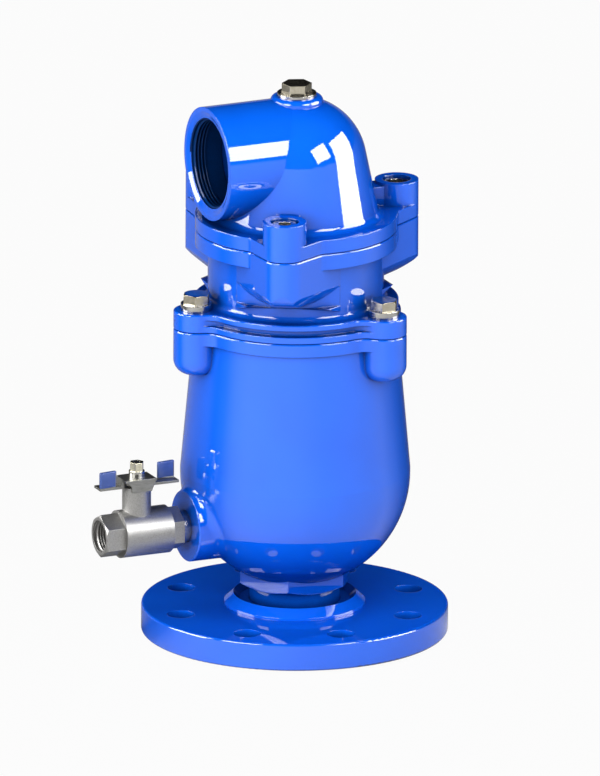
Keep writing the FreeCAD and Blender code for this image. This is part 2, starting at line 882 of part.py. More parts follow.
def make_top_ears(body):
    """Lugs with straight flared sides and a keel that slopes down to the neck."""
    deep = keel_level(top_ear_root)
    plate = pad(body, top_ear_plan(), "XY_Plane", deep, split_high)
    nose_top = top_ear_low + s.top_ear_nose * 2
    half = ear_half_width(top_ear_root)
    belly = cut_out(body, [
        corner(top_ear_root - OVERSHOOT, keel_level(top_ear_root - OVERSHOOT)),
        corner(top_ear_edge, top_ear_low, rounded=s.top_ear_nose),
        corner(top_ear_edge, nose_top),
        corner(top_ear_edge + OVERSHOOT, nose_top),
        corner(top_ear_edge + OVERSHOOT, deep - 2 * OVERSHOOT),
        corner(top_ear_root - OVERSHOOT, deep - 2 * OVERSHOOT),
    ], -half, half, "XZ_Plane")
    bevels = [bevel_ear(body, side) for side in (-1, 1)]
    return repeat_round(body, [plate, belly, *bevels], EAR_COUNT)


def bevel_ear(body, side):
    """Slopes one half of a lug's underside from its straight side to its keel."""
    spread = s.top_ear_spread
    edge = top_ear_circle * sine(spread) + s.top_ear_radius
    skirt = split_high - s.top_ear_skirt
    start = ear_half_width(top_ear_root) * sine(spread)
    length = top_ear_edge - start
    middle = start + length / 2
    sketch = new_sketch(body, "XZ_Plane")
    turned = FreeCAD.Rotation(FreeCAD.Vector(0, side, 0), 90 - spread.value)
    sketch.AttachmentOffset = FreeCAD.Placement(FreeCAD.Vector(), turned)
    bind(sketch, "AttachmentOffset.Rotation.Angle", as_size(90) - spread)
    bind(sketch, "AttachmentOffset.Base.x", middle * cosine(spread))
    bind(sketch, "AttachmentOffset.Base.z", middle * sine(spread) * side)
    draw(sketch, [
        corner(edge + OVERSHOOT, skirt + OVERSHOOT * s.top_ear_bevel, bend=s.top_ear_bulge, turn=-1),
        corner(edge - s.top_ear_bevel_width, skirt - s.top_ear_bevel_width * s.top_ear_bevel),
        corner(edge + OVERSHOOT, skirt - s.top_ear_bevel_width * s.top_ear_bevel),
    ])
    feature = body.newObject("PartDesign::Pocket", f"{body.Name}_bevel")
    feature.Profile = sketch
    feature.Midplane = True
    bind(feature, "Length", length)
    return feature


def keel_level(distance):
    """The level of a lug's underside at a distance from the valve axis."""
    return top_ear_low - (top_ear_edge - distance) * s.top_ear_slope


def ear_half_width(distance):
    """Half the width of a top lug at a distance from the valve axis."""
    spread = s.top_ear_spread
    return ear_touch_y + (ear_touch_x - distance) * sine(spread) / cosine(spread)


def on_ear_corner(edge):
    """Accepts the upright edges where the lugs run into the flange's rim."""
    ends = [vertex.Point for vertex in edge.Vertexes]
    if len(ends) < 2 or abs(ends[0].z - ends[1].z) < s.cover_flange_thickness.value / 2:
        return False
    for end in ends:
        if abs(math.hypot(end.x, end.y) - casing_flange_radius.value) > 0.01:
            return False
    return math.hypot(ends[0].x - ends[1].x, ends[0].y - ends[1].y) < 0.01


def on_contour(level, inner_radius):
    """Gives a test for the outer edges that lie in a level plane."""
    def accepts(edge):
        for place in edge.discretize(5):
            if abs(place.z - level.value) > 0.001:
                return False
            if math.hypot(place.x, place.y) < inner_radius.value:
                return False
        return True
    return accepts


def make_outlet_cover():
    body = new_body("outlet_cover")
    flange_top = split_high + s.cover_flange_thickness
    boss_top = flange_top + s.cover_boss_height
    tube_top = outlet_level + s.outlet_radius
    turn_on(body, [
        corner(0, split_high),
        corner(casing_flange_radius, split_high),
        corner(casing_flange_radius, flange_top),
        corner(s.dome_foot_radius, flange_top, rounded=s.dome_foot_fillet),
        corner(s.dome_top_radius, dome_top, rounded=dome_rounding(s.dome_top_radius, dome_top - flange_top)),
        corner(0, dome_top),
    ])
    turn_on(body, [
        corner(-s.outlet_reach, outlet_level),
        corner(0, outlet_level),
        corner(0, tube_top),
        corner(-s.outlet_reach, tube_top),
    ], offset=outlet_level, upright=False)
    turn_on(body, [
        corner(0, outlet_level),
        corner(s.top_boss_radius, outlet_level),
        corner(s.top_boss_radius, plug_seat, rounded=s.top_boss_round),
        corner(0, plug_seat),
    ])
    ear_column(body, top_ear_circle, s.top_ear_radius, TOP_EAR_DIRECTION, split_high, boss_top)
    plate = pad(body, top_ear_plan(), "XY_Plane", split_high, flange_top)
    plates = repeat_round(body, [plate], EAR_COUNT)
    corners = round_edges(body, plates, s.top_ear_corner, on_ear_corner)
    round_edges(body, corners, s.split_round, on_contour(split_high, s.seat_radius))
    web = pad(body, [
        corner(s.dome_top_radius, -s.cover_web_width / 2),
        corner(top_ear_circle, -s.cover_web_width / 2),
        corner(top_ear_circle, s.cover_web_width / 2),
        corner(s.dome_top_radius, s.cover_web_width / 2),
    ], "XY_Plane", split_high, boss_top - s.cover_web_drop)
    repeat_round(body, [web], EAR_COUNT)
    ceiling = dome_top - s.cover_wall
    shoulder = s.dome_top_radius - s.cover_wall
    turn_off(body, [
        corner(0, split_high - OVERSHOOT),
        corner(s.dome_foot_radius - s.cover_wall, split_high - OVERSHOOT),
        corner(s.dome_foot_radius - s.cover_wall, split_high),
        corner(shoulder, ceiling, rounded=dome_rounding(shoulder, ceiling - split_high)),
        corner(0, ceiling),
    ])
    mouth = outlet_level + s.outlet_mouth_radius
    bore = outlet_level + s.outlet_thread_radius
    core = outlet_level + s.outlet_core_radius
    bore_start = -s.outlet_reach + s.outlet_mouth_depth
    bore_end = bore_start + s.outlet_thread_length
    turn_off(body, [
        corner(-s.outlet_reach - OVERSHOOT, outlet_level),
        corner(0, outlet_level),
        corner(0, core),
        corner(bore_end, core),
        corner(bore_end, bore),
        corner(bore_start, bore),
        corner(bore_start, core),
        corner(-s.outlet_reach, mouth),
        corner(-s.outlet_reach - OVERSHOOT, mouth),
    ], offset=outlet_level, upright=False)
    turn_off(body, bar(0, s.plug_hole_radius, outlet_level, plug_seat + OVERSHOOT))
    drill(body, s.screw_diameter / 2 + s.seat_gap, split_high - OVERSHOOT, boss_top, top_ear_circle)
    drill(body, s.counterbore_diameter / 2, boss_top - s.counterbore_depth, boss_top + OVERSHOOT,
          top_ear_circle)
    return body


def dome_rounding(shoulder, rise):
    """The rounding that turns a dome's leaning wall into its small flat crown."""
    lean = (s.dome_foot_radius - s.dome_top_radius) / rise
    return (shoulder - s.dome_crown) / (root(lean * lean + 1) - lean)


def make_ring(label, inner, outer, low, high):
    body = new_body(label)
    turn_on(body, bar(inner, outer, low, high))
    return body


def make_seal(label, inner_radius, level):
    """A round sealing ring at the middle of its face groove."""
    ring = doc.addObject("Part::Torus", label)
    ring.Label = label
    bind(ring, "Radius1", inner_radius + s.seal_land + s.seal_groove_width / 2)
    bind(ring, "Radius2", s.seal_section / 2)
    bind(ring, "Placement.Base.z", as_size(level) - s.seal_groove_depth / 2)
    return ring


def make_vent_plug():
    body = new_body("vent_plug")
    seat = plug_seat + s.plug_washer_thickness
    turn_on(body, bar(0, s.plug_hole_radius - s.thread_gap, seat - s.plug_length, seat))
    pad(body, hexagon(s.plug_flats), "XY_Plane", seat, seat + s.plug_head)
    bind(body, "Placement.Rotation.Angle", s.plug_clocking)
    return body


def place_round(item, circle, angle):
    """Puts a piece on a bolt circle at an angle in degrees."""
    turn = math.radians(angle)
    bind(item, "Placement.Base.x", circle * math.cos(turn))
    bind(item, "Placement.Base.y", circle * math.sin(turn))


def ear_angles(direction):
    first = 0 if direction > 0 else 180
    return [first + index * FULL_TURN / EAR_COUNT for index in range(EAR_COUNT)]


def group(label, pieces):
    """Keeps identical pieces together as one sub-part of separate solids."""
    item = doc.addObject("Part::Compound", label)
    item.Label = label
    item.Links = pieces
    return item


def make_body_bolts():
    seat = split_low + s.casing_lower_lip + s.casing_groove + s.casing_upper_lip + s.washer_thickness
    tip = split_low - s.screw_grip
    bolts = []
    for angle in ear_angles(BODY_EAR_DIRECTION):
        body = new_body("body_bolt")
        turn_on(body, bar(0, s.screw_diameter / 2, tip, seat))
        pad(body, hexagon(s.screw_flats), "XY_Plane", seat, seat + s.screw_head)
        trim_hexagon(body, s.screw_flats, seat + s.screw_head, -1)
        place_round(body, body_ear_circle, angle)
        bolts.append(body)
    return group("body_bolts", bolts)


def make_body_washers():
    seat = split_low + s.casing_lower_lip + s.casing_groove + s.casing_upper_lip
    washers = []
    for angle in ear_angles(BODY_EAR_DIRECTION):
        body = new_body("body_washer")
        inner = s.screw_diameter / 2 + s.seat_gap
        turn_on(body, bar(inner, s.washer_diameter / 2, seat, seat + s.washer_thickness))
        place_round(body, body_ear_circle, angle)
        washers.append(body)
    return group("body_washers", washers)


def make_cover_screws():
    seat = split_high + s.cover_flange_thickness + s.cover_boss_height - s.counterbore_depth
    top = seat + s.socket_head
    screws = []
    for angle in ear_angles(TOP_EAR_DIRECTION):
        body = new_body("cover_screw")
        turn_on(body, [
            corner(0, split_high - s.screw_grip),
            corner(s.screw_diameter / 2, split_high - s.screw_grip),
            corner(s.screw_diameter / 2, seat),
            corner(s.socket_head_diameter / 2, seat),
            corner(s.socket_head_diameter / 2, top),
            corner(0, top),
        ])
        cut_out(body, hexagon(s.socket_key), top - s.socket_depth, top + OVERSHOOT)
        place_round(body, top_ear_circle, angle)
        screws.append(body)
    return group("cover_screws", screws)


def make_seat_ring():
    body = new_body("seat_ring")
    lip = s.seat_bore_radius + s.seat_lip_width
    turn_on(body, [
        corner(s.seat_bore_radius, seat_bottom - s.seat_lip),
        corner(lip, seat_bottom - s.seat_lip),
        corner(lip, seat_bottom),
        corner(s.seat_radius, seat_bottom),
        corner(s.seat_radius, split_high),
        corner(s.seat_bore_radius, split_high),
    ])
    return body


def make_guide_spider():
    body = new_body("guide_spider")
    hole = s.bush_radius + s.fit_gap
    outer = s.spigot_radius
    turn_on(body, [
        corner(hole, spider_bottom),
        corner(outer, spider_bottom),
        corner(outer, spider_top),
        corner(s.spider_hub_radius, spider_top),
        corner(s.spider_hub_radius, bush_seat),
        corner(hole, bush_seat),
    ])
    inner = s.spider_hub_radius + s.spider_window_gap
    outer = s.spigot_radius - s.spider_rim
    half = s.spider_arm_width / 2
    turn_x = math.cos(2 * math.pi / EAR_COUNT)
    turn_y = math.sin(2 * math.pi / EAR_COUNT)
    places = []
    for radius in (inner, outer):
        along = leg(radius, half)
        places.append((along, half))
        places.append((along * turn_x + half * turn_y, along * turn_y - half * turn_x))
    window = cut_out(body, [
        corner(*places[0]),
        corner(*places[2], bend=outer),
        corner(*places[3]),
        corner(*places[1], bend=inner, turn=-1),
    ], spider_bottom - OVERSHOOT, spider_top + OVERSHOOT)
    repeat_round(body, [window], EAR_COUNT)
    return body


def make_guide_bush():
    body = new_body("guide_bush")
    bore = s.rod_radius + s.running_gap
    turn_on(body, [
        corner(bore, bush_seat - s.bush_length),
        corner(s.bush_radius, bush_seat - s.bush_length),
        corner(s.bush_radius, bush_seat),
        corner(s.bush_flange_radius, bush_seat),
        corner(s.bush_flange_radius, bush_top),
        corner(bore, bush_top),
    ])
    return body


def make_closing_disc():
    body = new_body("closing_disc")
    sleeve_low = cage_bottom + s.cage_nut_flange
    hole = s.nozzle_radius + s.fit_gap
    turn_on(body, [
        corner(s.cage_inner_radius, sleeve_low),
        corner(s.cage_radius, sleeve_low),
        corner(s.cage_radius, disc_bottom),
        corner(s.disc_radius, disc_bottom),
        corner(s.disc_radius, disc_top),
        corner(hole, disc_top),
        corner(hole, nozzle_tip),
        corner(s.cage_inner_radius, nozzle_tip),
    ])
    return body


def make_cage_nut():
    body = new_body("cage_nut")
    bore = s.rod_radius + s.running_gap
    shoulder = cage_bottom + s.cage_nut_flange
    spigot = s.cage_inner_radius - s.fit_gap
    turn_on(body, [
        corner(bore, cage_bottom),
        corner(s.cage_radius, cage_bottom),
        corner(s.cage_radius, shoulder),
        corner(spigot, shoulder),
        corner(spigot, cage_bottom + s.cage_nut_thickness),
        corner(bore, cage_bottom + s.cage_nut_thickness),
    ])
    return body


def make_nozzle():
    body = new_body("nozzle")
    turn_on(body, [
        corner(s.nozzle_orifice, nozzle_tip),
        corner(s.nozzle_radius, nozzle_tip),
        corner(s.nozzle_radius, disc_top),
        corner(s.nozzle_head_radius, disc_top),
        corner(s.nozzle_head_radius, disc_top + s.nozzle_head),
        corner(s.nozzle_orifice, disc_top + s.nozzle_head),
    ])
    return body


def make_float():
    body = new_body("float")
    hole = s.rod_radius + s.fit_gap
    turn_on(body, [
        corner(hole, float_bottom),
        corner(s.float_hub_radius, float_bottom),
        corner(s.float_radius, float_bottom + s.float_shoulder, rounded=s.float_round),
        corner(s.float_radius, float_top - s.float_shoulder, rounded=s.float_round),
        corner(s.float_hub_radius, float_top),
        corner(hole, float_top),
    ])
    return body


def make_float_rod():
    body = new_body("float_rod")
    turn_on(body, [
        corner(0, rod_bottom),
        corner(s.rod_radius, rod_bottom),
        corner(s.rod_radius, rod_head_bottom),
        corner(s.rod_head_radius, rod_head_bottom),
        corner(s.rod_head_radius, rod_head_bottom + s.rod_head),
        corner(0, rod_head_bottom + s.rod_head),
    ])
    return body


def hollow_nut(label, flats, bore, low, high):
    """A hexagon nut without its thread."""
    body = new_body(label)
    pad(body, hexagon(flats), "XY_Plane", low, high)
    turn_off(body, bar(0, bore, as_size(low) - OVERSHOOT, as_size(high) + OVERSHOOT))
    return body


def make_float_nuts():
    bore = s.rod_radius + s.fit_gap
    upper = hollow_nut("float_nut", s.float_nut_flats, bore, float_top, float_nut_top)
    lower_end = float_bottom - s.float_nut_height
    lower = hollow_nut("float_nut", s.float_nut_flats, bore, lower_end, float_bottom)
    return group("float_nuts", [upper, lower])


def make_drain_nipple():
    body = new_body("drain_nipple")
    turn_on(body, [
        corner(-valve_mouth - s.nipple_engagement, s.drain_level + s.nipple_bore_radius),
        corner(-socket_end, s.drain_level + s.nipple_bore_radius),
        corner(-socket_end, s.drain_level + s.nipple_radius),
        corner(-valve_mouth - s.nipple_engagement, s.drain_level + s.nipple_radius),
    ], offset=s.drain_level, upright=False)
    return body


def put_on_drain(item):
    """Moves a piece from the ball's centre to its place on the drain."""
    bind(item, "Placement.Base.x", stem_x)
    bind(item, "Placement.Base.z", s.drain_level)
    return item


def make_ball_valve_body():
    body = new_body("ball_valve_body")
    outlet = s.barrel_back + s.outlet_hex_width
    cavity = s.ball_radius + s.ball_space
    pocket = s.ball_seat_outer + s.ball_seat_gap
    turn_on(body, bar(-s.barrel_back, s.barrel_front, 0, s.barrel_radius), axis="H_Axis")
    pad(body, hexagon(s.valve_flats, point_up=True), "YZ_Plane", -outlet, -s.barrel_back)
    trim_hexagon(body, s.valve_flats, -outlet, 1, axis="H_Axis")
    turn_on(body, bar(0, s.tower_radius, 0, s.tower_rise))
    turn_off(body, [
        corner(s.barrel_front + OVERSHOOT, 0),
        corner(s.barrel_front + OVERSHOOT, cavity),
        corner(-(s.ball_seat_depth - s.ball_seat_reach), cavity),
        corner(-(s.ball_seat_depth - s.ball_seat_reach), pocket),
        corner(-s.ball_seat_depth, pocket),
        corner(-s.ball_seat_depth, s.port_radius),
        corner(-outlet + s.drain_thread_length, s.port_radius),
        corner(-outlet + s.drain_thread_length, s.drain_thread_radius),
        corner(-outlet - OVERSHOOT, s.drain_thread_radius),
        corner(-outlet - OVERSHOOT, 0),
    ], axis="H_Axis")
    bore = s.stem_radius + s.running_gap
    packing = s.packing_radius + s.fit_gap
    packing_low = s.tower_rise - s.gland_depth - s.packing_height
    turn_off(body, [
        corner(0, 0),
        corner(bore, 0),
        corner(bore, packing_low),
        corner(packing, packing_low),
        corner(packing, s.tower_rise + OVERSHOOT),
        corner(0, s.tower_rise + OVERSHOOT),
    ])
    return put_on_drain(body)


def make_ball_valve_end():
    body = new_body("ball_valve_end")
    pocket = s.ball_seat_outer + s.ball_seat_gap
    spigot = s.ball_radius + s.ball_space - s.thread_gap
    tip = s.ball_seat_depth - s.ball_seat_reach + OVERSHOOT
    socket = s.nipple_radius + s.thread_gap
    turn_on(body, bar(tip, end_hex_right, 0, spigot), axis="H_Axis")
    pad(body, hexagon(s.valve_flats, point_up=True), "YZ_Plane", s.barrel_front, end_hex_right)
    turn_off(body, [
        corner(tip - OVERSHOOT, 0),
        corner(tip - OVERSHOOT, pocket),
        corner(s.ball_seat_depth, pocket),
        corner(s.ball_seat_depth, s.port_radius),
        corner(end_hex_right - s.nipple_engagement, s.port_radius),
        corner(end_hex_right - s.nipple_engagement, socket),
        corner(end_hex_right + OVERSHOOT, socket),
        corner(end_hex_right + OVERSHOOT, 0),
    ], axis="H_Axis")
    return put_on_drain(body)


def make_ball_seats():
    sphere = s.ball_radius + s.ball_seat_gap
    near_outer = leg(sphere, s.ball_seat_outer)
    near_inner = leg(sphere, s.ball_seat_inner)
    seats = []
    for direction in (-1, 1):
        body = new_body("ball_seat")
        turn_on(body, [
            corner(s.ball_seat_depth * direction, s.ball_seat_inner),
            corner(s.ball_seat_depth * direction, s.ball_seat_outer),
            corner(near_outer * direction, s.ball_seat_outer, bend=sphere, turn=-direction),
            corner(near_inner * direction, s.ball_seat_inner),
        ], axis="H_Axis")
        seats.append(put_on_drain(body))
    return group("ball_seats", seats)


def make_ball():
    sphere = doc.addObject("Part::Sphere", "ball_sphere")
    bind(sphere, "Radius", s.ball_radius)
    bore = doc.addObject("Part::Cylinder", "ball_bore")
    bind(bore, "Radius", s.port_radius)
    bind(bore, "Height", s.ball_radius * 2)
    bore.Placement.Rotation = FreeCAD.Rotation(FreeCAD.Vector(0, 1, 0), 90)
    bind(bore, "Placement.Base.x", -s.ball_radius)
    slot = doc.addObject("Part::Box", "ball_slot")
    width = s.stem_tang + 2 * s.fit_gap
    bind(slot, "Length", s.ball_radius * 2)
    bind(slot, "Width", width)
    bind(slot, "Height", s.stem_tang_depth + s.fit_gap)
    bind(slot, "Placement.Base.x", -s.ball_radius)
    bind(slot, "Placement.Base.y", -width / 2)
    bind(slot, "Placement.Base.z", s.ball_radius - s.stem_tang_depth - s.fit_gap)
    tools = doc.addObject("Part::MultiFuse", "ball_tools")
    tools.Shapes = [bore, slot]
    ball = doc.addObject("Part::Cut", "ball")
    ball.Base = sphere
    ball.Tool = tools
    ball.Label = "ball"
    return put_on_drain(ball)


def make_valve_stem():
    body = new_body("valve_stem")
    shaft_low = s.ball_radius + s.ball_space / 2
    tang_half = s.stem_tang / 2
    tang_side = leg(s.stem_radius, tang_half)
    turn_on(body, [
        corner(0, shaft_low),
        corner(s.stem_radius, shaft_low),
        corner(s.stem_radius, handle_high),
        corner(s.stem_thread_radius, handle_high),
        corner(s.stem_thread_radius, nut_top),
        corner(0, nut_top),
    ])
    pad(body, [
        corner(-tang_side, -tang_half),
        corner(tang_side, -tang_half),
        corner(tang_side, tang_half),
        corner(-tang_side, tang_half),
    ], "XY_Plane", s.ball_radius - s.stem_tang_depth, shaft_low)
    return put_on_drain(body)


def make_stem_packing():
    low = s.tower_rise - s.gland_depth - s.packing_height
    inner = s.stem_radius + s.running_gap
    ring = make_ring("stem_packing", inner, s.packing_radius, low, low + s.packing_height)
    return put_on_drain(ring)


def make_gland_nut():
    low = s.tower_rise - s.gland_depth
    inner = s.stem_radius + s.running_gap
    body = new_body("gland_nut")
    turn_on(body, bar(inner, s.packing_radius, low, s.tower_rise))
    pad(body, hexagon(s.gland_flats), "XY_Plane", s.tower_rise, low + s.gland_height)
    turn_off(body, bar(0, inner, low, low + s.gland_height + OVERSHOOT))
    return put_on_drain(body)


def make_handle():
    body = new_body("handle")
    half = s.arm_width / 2
    top = handle_high + s.sheet
    arm_top = handle_low + s.sheet
    pad(body, [
        corner(-s.arm_reach, handle_low),
        corner(-s.hub_left + s.sheet, handle_low),
        corner(-s.hub_left + s.sheet, handle_high),
        corner(s.hub_right - s.sheet, handle_high),
        corner(s.hub_right - s.sheet, handle_low),
        corner(s.arm_reach, handle_low),
        corner(s.arm_reach, arm_top),
        corner(s.hub_right, arm_top),
        corner(s.hub_right, top),
        corner(-s.hub_left, top),
        corner(-s.hub_left, arm_top),
        corner(-s.arm_reach, arm_top),
    ], "XZ_Plane", -half, half)
    pad(body, [
        corner(-s.hub_left, -s.hub_front),
        corner(s.hub_right, -s.hub_front),
        corner(s.hub_right, s.hub_back, rounded=s.sheet * 2),
        corner(-s.hub_left, s.hub_back, rounded=s.sheet * 2),
    ], "XY_Plane", handle_high, top)
    pad(body, [
        corner(-s.hub_left, top),
        corner(-s.flap_left, top - s.flap_cut),
        corner(-s.flap_left, top - s.flap_drop),
        corner(s.flap_right, top - s.flap_drop),
        corner(s.hub_right, top),
    ], "XZ_Plane", s.hub_front - s.sheet, s.hub_front)
    wing_inner = s.arm_reach - s.wing_width
    wing_top = handle_low + s.wing_rise
    pad(body, bar(-s.arm_reach, -wing_inner, handle_low, wing_top), "XZ_Plane", half - s.sheet, half)
    pad(body, bar(wing_inner, s.arm_reach, handle_low, wing_top), "XZ_Plane", -half, s.sheet - half)
    hole = s.stem_thread_radius + s.fit_gap
    turn_off(body, bar(0, hole, handle_high - OVERSHOOT, top + OVERSHOOT))
    return put_on_drain(body)


def make_block(name, low, size):
    """A box from its lowest corner and its three lengths."""
    block = doc.addObject("Part::Box", name)
    for prop, length in zip(("Length", "Width", "Height"), size):
        bind(block, prop, length)
    for letter, place in zip("xyz", low):
        bind(block, f"Placement.Base.{letter}", place)
    return block


def make_grips():
    """Plastic sleeves over the two wings, each with a slot for its wing."""
    half = s.arm_width / 2
    low = handle_low + s.grip_lift
    width = s.wing_width + 2 * s.grip_side
    slot_width = s.wing_width + 2 * s.fit_gap
    slot_depth = s.sheet + 2 * s.fit_gap
    slot_height = s.wing_rise - s.grip_lift + s.fit_gap
    grips = []
    for direction in (-1, 1):
        middle_x = (s.arm_reach - s.wing_width / 2) * direction
        middle_y = (half - s.sheet / 2) * direction
        outer = make_block("grip_outer", (
            middle_x - width / 2,
            middle_y - s.grip_thickness / 2,
            low,
        ), (width, s.grip_thickness, s.grip_height))
        inner = make_block("grip_slot", (
            middle_x - slot_width / 2,
            middle_y - slot_depth / 2,
            low,
        ), (slot_width, slot_depth, slot_height))
        grip = doc.addObject("Part::Cut", "handle_grip")
        grip.Base = outer
        grip.Tool = inner
        grips.append(put_on_drain(grip))
    return group("handle_grips", grips)


def make_parts():
    """Makes every sub-part, in the order in which the valve goes together."""
    bore = s.stem_thread_radius + s.fit_gap
    plug_bore = s.plug_hole_radius
    plug_top = plug_seat + s.plug_washer_thickness
    seal_inner = s.disc_radius - s.disc_seal_width
    nozzle_seal_low = rod_head_bottom + s.rod_head
    collar_low = handle_high + s.sheet
    return [
        make_inlet_flange(),
        make_lower_body(),
        make_guide_spider(),
        make_guide_bush(),
        make_float(),
        make_float_rod(),
        make_float_nuts(),
        make_ring("nozzle_seal", 0, s.nozzle_seal_radius, nozzle_seal_low, nozzle_seal_top),
        make_cage_nut(),
        make_closing_disc(),
        make_ring("disc_seal", seal_inner, s.disc_radius, disc_top, disc_seal_top),
        make_nozzle(),
        make_seal("body_seal", s.spigot_radius, split_low),
        make_casing(),
        make_body_washers(),
        make_body_bolts(),
        make_seat_ring(),
        make_seal("cover_seal", s.seat_radius + s.seat_gap, split_high),
        make_outlet_cover(),
        make_cover_screws(),
        make_ring("plug_washer", plug_bore, s.plug_washer_radius, plug_seat, plug_top),
        make_vent_plug(),
        make_drain_nipple(),
        make_ball_valve_body(),
        make_ball_valve_end(),
        make_ball_seats(),
        make_ball(),
        make_valve_stem(),
        make_stem_packing(),
        make_gland_nut(),
        make_handle(),
        make_grips(),
        put_on_drain(make_ring("handle_collar", bore, s.collar_radius, collar_low, collar_top)),
        put_on_drain(hollow_nut("handle_nut", s.handle_nut_flats, bore, collar_top, nut_top)),
    ]


def check(parts):
    """Stops if any object failed or any sub-part is not a valid solid."""
    for item in doc.Objects:
        if "Invalid" in item.State or "Error" in item.State:
            raise RuntimeError(f"{item.Name} failed: {item.State}")
    for part in parts:
        if part.Shape.isNull() or not part.Shape.isValid() or not part.Shape.Solids:
            raise RuntimeError(f"{part.Label} is not a valid solid")


def write(parts):
    os.makedirs("parts", exist_ok=True)
    for part in parts:
        part.Shape.exportStep(f"parts/{part.Label}.step")


parts = make_parts()
doc.recompute()
check(parts)
write(parts)
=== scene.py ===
import math
from collections import namedtuple

import bmesh
import bpy
from mathutils import Matrix, Vector


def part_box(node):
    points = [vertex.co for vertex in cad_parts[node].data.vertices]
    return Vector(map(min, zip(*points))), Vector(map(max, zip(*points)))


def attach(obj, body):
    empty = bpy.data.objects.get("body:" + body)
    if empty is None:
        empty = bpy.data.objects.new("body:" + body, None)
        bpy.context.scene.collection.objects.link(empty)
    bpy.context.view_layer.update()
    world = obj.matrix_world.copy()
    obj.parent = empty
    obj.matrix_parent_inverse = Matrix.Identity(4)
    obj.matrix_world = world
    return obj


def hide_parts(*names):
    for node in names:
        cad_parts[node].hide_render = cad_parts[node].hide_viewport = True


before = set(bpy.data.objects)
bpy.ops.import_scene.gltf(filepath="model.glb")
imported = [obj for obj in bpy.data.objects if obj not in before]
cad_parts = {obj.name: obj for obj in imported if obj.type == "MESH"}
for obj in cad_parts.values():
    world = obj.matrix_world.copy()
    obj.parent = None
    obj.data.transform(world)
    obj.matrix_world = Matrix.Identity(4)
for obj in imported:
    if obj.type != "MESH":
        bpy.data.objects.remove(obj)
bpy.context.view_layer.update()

# Looks of the air release valve: blue enamel castings, bright steel fittings,
# pipe threads and moulded handle sleeves, on a pale floor in soft studio light.
# Lengths are in metres unless a name ends in _mm.

MM = 0.001

# Camera, square on to the valve from the photograph's side and height
AZIMUTH = math.radians(-24)
ELEVATION = math.radians(16.5)
ROLL = math.radians(0.24)
IMAGE_HEIGHT = 776
PIXELS_PER_MM = 1.535
AIM_RIGHT_MM = 3.6
AIM_UP_MM = 158.2
CAMERA_DISTANCE = 2.5
CAMERA_REACH = 20

# Floor and ceiling of the studio
FLOOR_HALF_SIZE = 4
FLOOR_DROP = 0.0002
FLOOR_GREY = (0.36, 0.36, 0.36, 1)
WHITE = (1, 1, 1, 1)
CEILING_GREY = (0.02, 0.02, 0.022, 1)

# Where the studio's white ends and its dark begins, from 0 at the horizon to 1 overhead
HORIZON_WHITE_TO = 0.13
HORIZON_DARK_FROM = 0.16

# Share of the floor that is plain white to the camera, the rest takes the valve's shadow
BACKDROP_SHARE = 0.96

# How pale the floor round the valve looks in the enamel, by degrees to the right of the camera
FLOOR_TONES = (
    (-180, 0.3), (-150, 0.38), (-102, 0.25), (-91, 0.06), (-79, 0.2), (-66, 0.75), (-52, 1),
    (0, 0.9), (30, 0.72), (96, 0.72), (112, 0.35), (126, 0.12), (140, 0.04), (156, 0.08), (172, 0.25),
)

# Lamps face one point, with their azimuth, elevation and spin in degrees
LAMP_AIM = Vector((0, 0, 0.2))
Lamp = namedtuple("Lamp", "azimuth elevation distance size brightness spin", defaults=(0,))

# Soft boxes that show in the enamel and the steel, but throw no matt light
SOFT_BOXES = {
    "front_box": Lamp(22, 31, 2.0, (0.92, 0.84), 12, spin=12),
    "side_box": Lamp(67, 20, 2.0, (1.45, 1.35), 12, spin=-10),
    "left_box": Lamp(-69, 31, 2.0, (0.94, 0.88), 12),
    "left_side_box": Lamp(-112, 17, 2.0, (1.35, 1.2), 12),
}

# Broad fills that light the valve but don't show in it
FILLS = {
    "ceiling_fill": Lamp(-24, 66, 0.7, (0.5, 0.5), 2.2),
    "front_fill": Lamp(-24, 17, 2.4, (2.2, 1.6), 4.2),
    "left_fill": Lamp(-88, 9, 2.4, (1.8, 1.6), 4.6),
    "right_fill": Lamp(60, 9, 2.4, (1.8, 1.6), 2.3),
    "back_fill": Lamp(156, 15, 2.4, (2.0, 1.6), 1.4),
}

# The outlet's bore, up to its thread's root and in to the dome's hollow, whose walls take painted shade
OUTLET_LEVEL_MM = 324.6
OUTLET_BORE_START_MM = -61.9
BORE_RADIUS_MM = 30.2
BORE_END_MM = -5

# Pipe threads along X, as ridges on the walls of the two mouths
PipeThread = namedtuple("PipeThread", "level_mm start_mm end_mm root_mm crest_mm pitch_mm")
OUTLET_THREAD = PipeThread(
    level_mm=OUTLET_LEVEL_MM, start_mm=OUTLET_BORE_START_MM - 1, end_mm=OUTLET_BORE_START_MM + 12.5,
    root_mm=29.8, crest_mm=28.35, pitch_mm=2.309,
)
DRAIN_THREAD = PipeThread(
    level_mm=80.4, start_mm=-138.8, end_mm=-128.5,
    root_mm=10.45, crest_mm=9.35, pitch_mm=1.814,
)
STEPS_PER_TURN = 72
RIDGE_SUNK_MM = 0.1

# Half widths of a ridge at its root and crest, in pitches
RIDGE_ROOT_HALF = 0.44
RIDGE_CREST_HALF = 0.1

# Sleeves on the wings of the handle, their middles placed from the stem along X and Y
STEM_X_MM = -113
SLEEVE_PLACE_MM = (22.4, 4.2)
SLEEVE_WIDTH_MM = 12.4
SLEEVE_THICK_MM = 2.7
SLEEVE_WAVE_MM = 0.5
SLEEVE_HEIGHT_MM = 10.6
SLEEVE_STEPS = 16
SLEEVE_FOOT_INSET_MM = 0.25

# Inset of a sleeve's outlines above its foot, and their depth under its top
SLEEVE_OUTLINES_MM = ((0, SLEEVE_HEIGHT_MM - 0.3), (0, 0.8), (0.2, 0.25), (0.6, 0))

